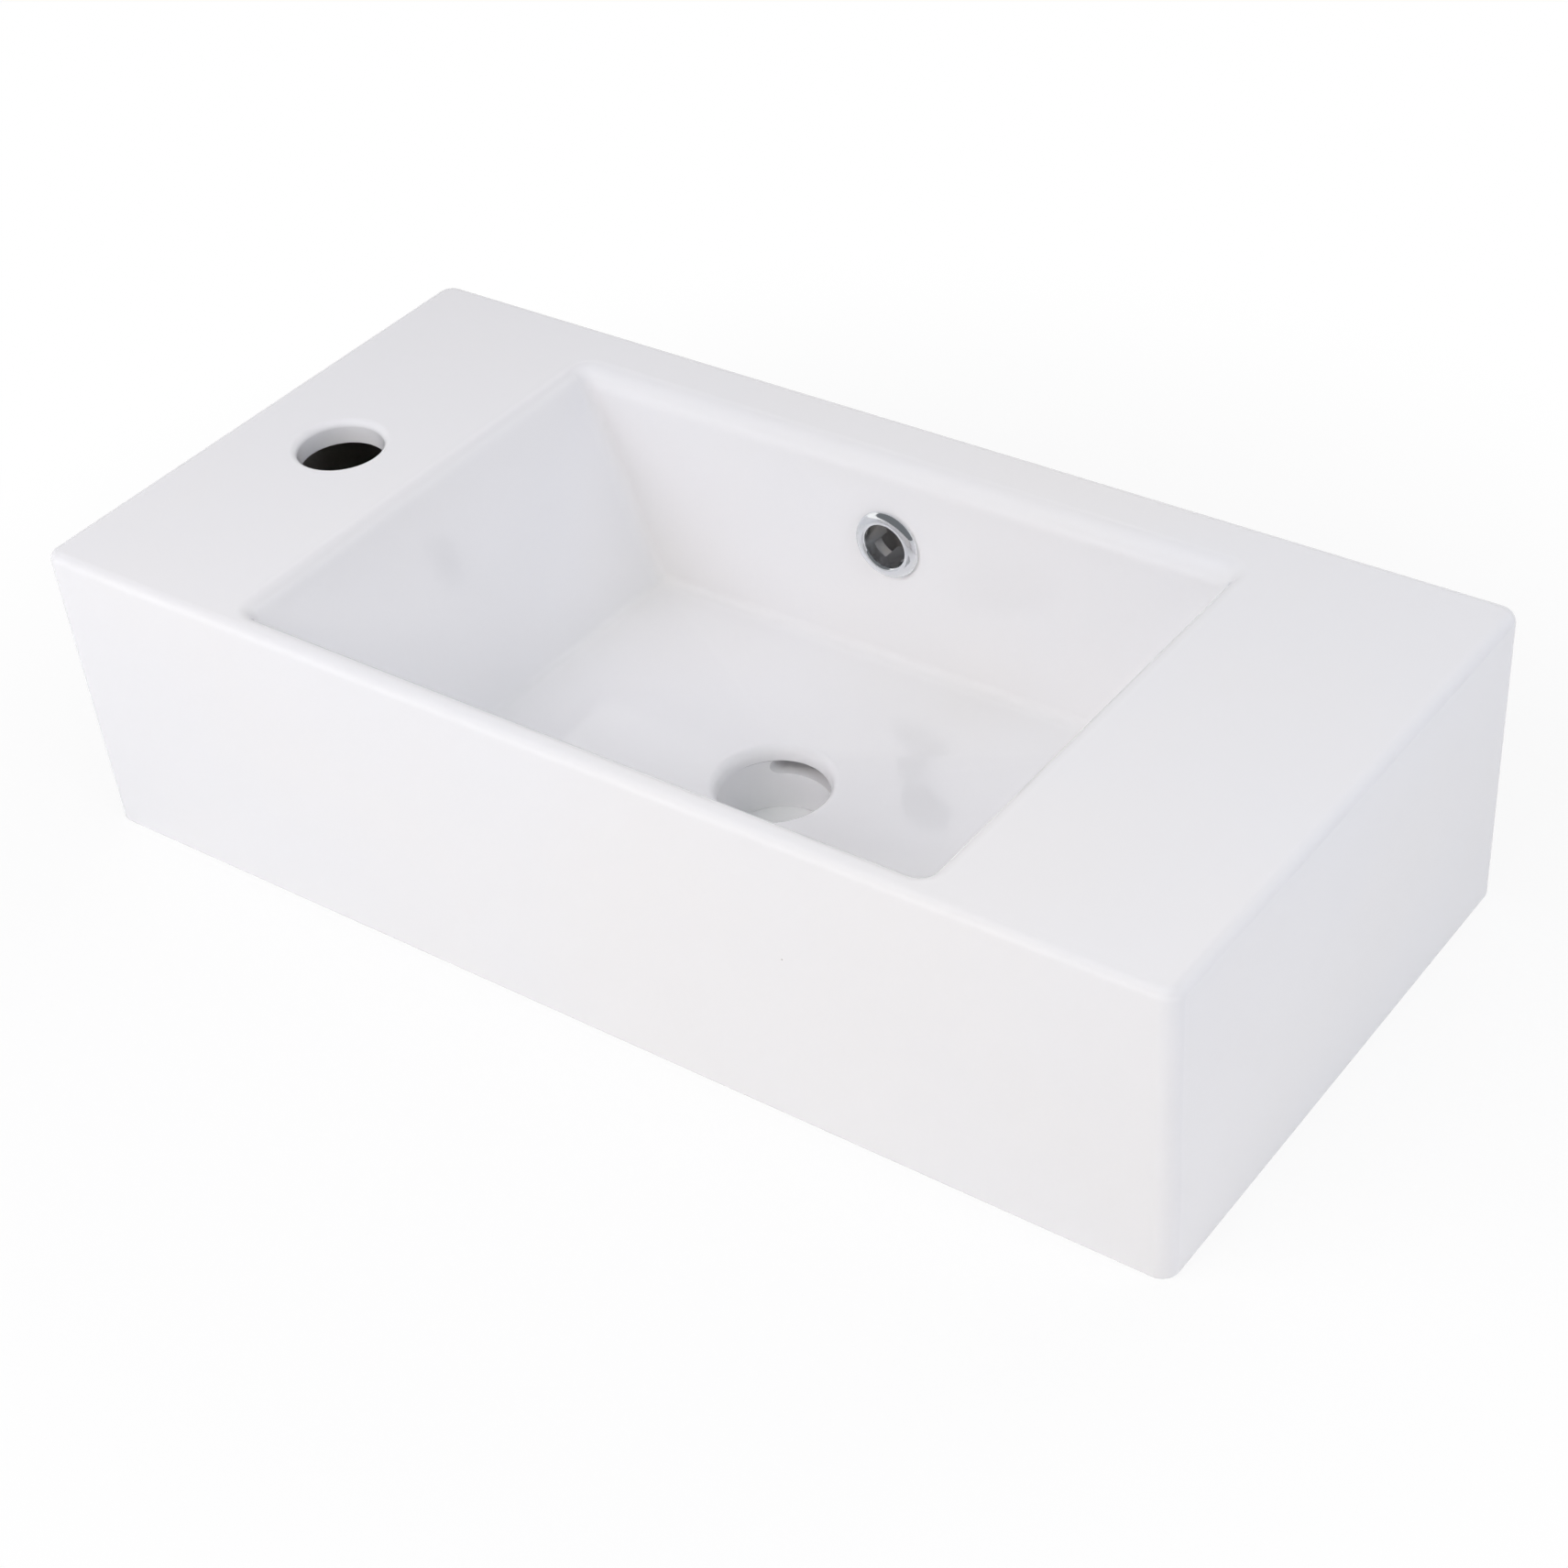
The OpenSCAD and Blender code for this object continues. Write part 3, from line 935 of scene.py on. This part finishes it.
def looking(place: Array, target: Array) -> Matrix:
    """A frame whose -Z axis points at a target, with its X axis level.

    Args:
        place: Where the frame stands, in metres.
        target: The point that it looks at.

    Returns:
        The frame as a matrix.
    """
    back = (place - target) / np.linalg.norm(place - target)
    right = np.cross([0.0, 0.0, 1.0], back)
    right /= np.linalg.norm(right)
    turned = np.eye(4)
    turned[:3, :3] = np.column_stack([right, np.cross(back, right), back])
    turned[:3, 3] = place
    return Matrix(turned.tolist())


@dataclass(frozen=True)
class Lamp:
    """A soft square lamp that looks at the middle of the basin, and that mirrors don't show."""

    name: str
    azimuth: float
    elevation: float
    distance: float
    size: float
    watts: float
    tint: tuple[float, float, float]
    target_z: float = 0.06

    def make(self) -> None:
        """Adds the lamp, whose -Z axis is turned to its target."""
        light = bpy.data.lights.new(self.name, "AREA")
        light.size = self.size
        light.energy = self.watts
        light.color = self.tint
        thing = bpy.data.objects.new(self.name, light)
        bpy.context.scene.collection.objects.link(thing)
        target = np.array([0.0, 0.0, self.target_z])
        thing.matrix_world = looking(target + outward(self.azimuth, self.elevation) * self.distance, target)
        thing.visible_glossy = False


@dataclass(frozen=True)
class Sheet:
    """A level matt sheet of the stage, over a span of X and a span of Y, in metres."""

    name: str
    colour: Colour
    x: Pair
    y: Pair
    z: float

    def make(self, skin: bpy.types.Material | None = None) -> None:
        """Adds the sheet, in a material of its own colour unless another is given."""
        if skin is None:
            skin, graph = material(self.name)
            matt = graph.node("ShaderNodeBsdfDiffuse", None, {"Color": self.colour})
            graph.node("ShaderNodeOutputMaterial", None, {"Surface": matt})
        (x0, x1), (y0, y1) = self.x, self.y
        points = [(x0, y0, self.z), (x1, y0, self.z), (x1, y1, self.z), (x0, y1, self.z)]
        mesh = bpy.data.meshes.new(self.name)
        mesh.from_pydata(points, [], [(0, 1, 2, 3)])
        mesh.materials.append(skin)
        thing = bpy.data.objects.new(self.name, mesh)
        bpy.context.scene.collection.objects.link(thing)


@dataclass(frozen=True)
class Studio:
    """Camera, floor, lamps and world."""

    azimuth: float = 39.403
    elevation: float = 37.426
    roll: float = -5.63
    distance: float = 1174.275
    target: tuple[float, float, float] = (24.364, -23.769, 60.0)
    frame_px: float = 1711.0
    focal_px: float = 3440.639
    centre_px: Pair = (850.552, 854.267)
    sensor: float = 36.0
    ground: Sheet = Sheet("floor", (0.9, 0.9, 0.9, 1.0), (-6.0, 6.0), (-6.0, 6.0), 0.0)
    under: tuple[Sheet, ...] = (
        # Painted shade: this sheet is greyed so that what shows through the holes looks shaded.
        Sheet("under_pale", (0.66, 0.66, 0.67, 1.0), (-0.165, 0.239), (-0.111, 0.1125), 0.0004),
        # Painted shade: a near-black sheet under the tap hole, so that the hole looks dark.
        Sheet("painted_shade_under_tap", (0.012, 0.014, 0.016, 1.0), (-0.239, -0.165), (-0.111, 0.1125), 0.0004),
        Sheet("under_outlet", (0.96, 0.96, 0.96, 1.0), (-0.024, 0.021), (-0.0185, 0.0265), 0.00195))
    sky: Colour = (0.955, 0.955, 1.0, 1.0)
    sky_level: float = 0.05
    ceiling: Colour = (0.16, 0.17, 0.18, 1.0)
    ceiling_middle: Pair = (30.0, 62.0)
    ceiling_edge: Pair = (0.36, 0.46)
    shadow_share: float = 0.12
    shadow_reach: Pair = (0.26, 0.5)
    lamps: tuple[Lamp, ...] = (
        Lamp("low_left", -40.0, 22.0, 1.6, 0.8, 4.75, (0.844, 0.939, 1.0)),
        Lamp("low_right", 80.0, 22.0, 1.6, 0.8, 7.1, (0.885, 0.89, 1.0)),
        Lamp("low_behind", 160.0, 22.0, 1.6, 0.8, 3.9, (1.0, 0.946, 0.879)),
        Lamp("middle_left", -40.0, 42.0, 1.6, 0.8, 5.67, (0.974, 0.91, 1.0)),
        Lamp("middle_front", 0.0, 42.0, 1.6, 0.8, 8.31, (1.0, 0.94, 0.88)),
        Lamp("high_right", 60.0, 60.0, 1.7, 0.9, 5.05, (0.879, 0.974, 1.0)),
        Lamp("high_behind", 180.0, 60.0, 1.7, 0.9, 5.08, (0.945, 0.937, 1.0)))

    def camera(self) -> None:
        """Adds the camera: its back axis from azimuth and elevation, then turned by the roll."""
        turn, roll = math.radians(self.azimuth), math.radians(self.roll)
        back = outward(self.azimuth, self.elevation)
        right = np.array([math.cos(turn), math.sin(turn), 0.0])
        up = np.cross(back, right)
        pose = np.eye(4)
        pose[:3, :3] = np.column_stack([right * math.cos(roll) + up * math.sin(roll),
                                        up * math.cos(roll) - right * math.sin(roll), back])
        pose[:3, 3] = (np.array(self.target) + back * self.distance) * MM
        lens = bpy.data.cameras.new("photo_camera")
        lens.sensor_width = self.sensor
        lens.lens = self.focal_px / self.frame_px * self.sensor
        lens.shift_x = (self.frame_px / 2 - self.centre_px[0]) / self.frame_px
        lens.shift_y = (self.centre_px[1] - self.frame_px / 2) / self.frame_px
        eye = bpy.data.objects.new("photo_camera", lens)
        bpy.context.scene.collection.objects.link(eye)
        eye.matrix_world = Matrix(pose.tolist())
        bpy.context.scene.camera = eye

    def seen(self, graph: Graph, rays: Sequence[Ray]) -> Value:
        """A mask that is 1 for the given kinds of ray."""
        found = [graph.node("ShaderNodeLightPath", output=ray.value) for ray in rays]
        mask = found[0]
        for other in found[1:]:
            mask = mask.most(other)
        return mask

    def floor(self) -> None:
        """Adds the pale floor and the sheets inside the basin's foot: a near-black sheet under the tap hole
        that is painted shade, a grey sheet whose grey is painted shade, and a white sheet under the outlet.

        The floor is lit by the lamps, and white for the camera and for mirrors. The camera sees
        shadow_share of the lit floor near the basin, which fades out over shadow_reach.
        """
        made, graph = material("pale_floor")
        lit = graph.node("ShaderNodeBsdfDiffuse", None, {"Color": self.ground.colour})
        glow = graph.node("ShaderNodeEmission", None, {"Color": WHITE, "Strength": 1.0})
        away = graph.node("ShaderNodeVectorMath", {"operation": "LENGTH"}, {0: graph.place()}, "Value")
        share = self.shadow_share * (1.0 - away.ramp(*self.shadow_reach))
        mask = self.seen(graph, [Ray.CAMERA, Ray.GLOSSY]) * (1.0 - share)
        graph.node("ShaderNodeOutputMaterial", None, {
            "Surface": graph.node("ShaderNodeMixShader", None, {0: mask, 1: lit, 2: glow})})
        self.ground.make(made)
        for sheet in self.under:
            sheet.make()

    def world(self) -> None:
        """A white background, with a grey ceiling for mirrors, and a faint sky that lights the basin.

        The ceiling is where the ray's direction, times the direction of its middle, passes from
        the first to the second of ceiling_edge.
        """
        sky = bpy.data.worlds.new("sky")
        sky.use_nodes = True
        graph = Graph(sky.node_tree)
        mask = self.seen(graph, [Ray.CAMERA, Ray.GLOSSY, Ray.TRANSMISSION])
        soft = graph.node("ShaderNodeBackground", None, {"Color": self.sky, "Strength": self.sky_level})
        along = graph.node("ShaderNodeVectorMath", {"operation": "DOT_PRODUCT"},
                           {0: graph.place(), 1: tuple(outward(*self.ceiling_middle))}, "Value")
        dark = along.ramp(*self.ceiling_edge) * self.seen(graph, [Ray.GLOSSY])
        shade = graph.blend(dark, WHITE, self.ceiling)
        white = graph.node("ShaderNodeBackground", None, {"Color": shade, "Strength": 1.0})
        graph.node("ShaderNodeOutputWorld", None, {
            "Surface": graph.node("ShaderNodeMixShader", None, {0: mask, 1: soft, 2: white})})
        bpy.context.scene.world = sky

    def make(self) -> None:
        """Builds the whole studio."""
        bpy.context.scene.view_settings.view_transform = "Standard"
        self.camera()
        self.floor()
        self.world()
        for lamp in self.lamps:
            lamp.make()


def main() -> None:
    """Builds the studio and the pieces in order, and reports each piece."""
    logging.basicConfig(level=logging.INFO, format="%(name)s: %(message)s")
    Studio().make()
    basin = BasinBody()
    pieces = [
        basin.make(Glaze().make()),
        OverflowRing().make(Chrome().make(), basin.on_overflow()),
    ]
    for piece in pieces:
        LOG.info("%s: %d faces, %d points", piece.name, len(piece.data.polygons), len(piece.data.vertices))


if __name__ == "__main__":
    main()
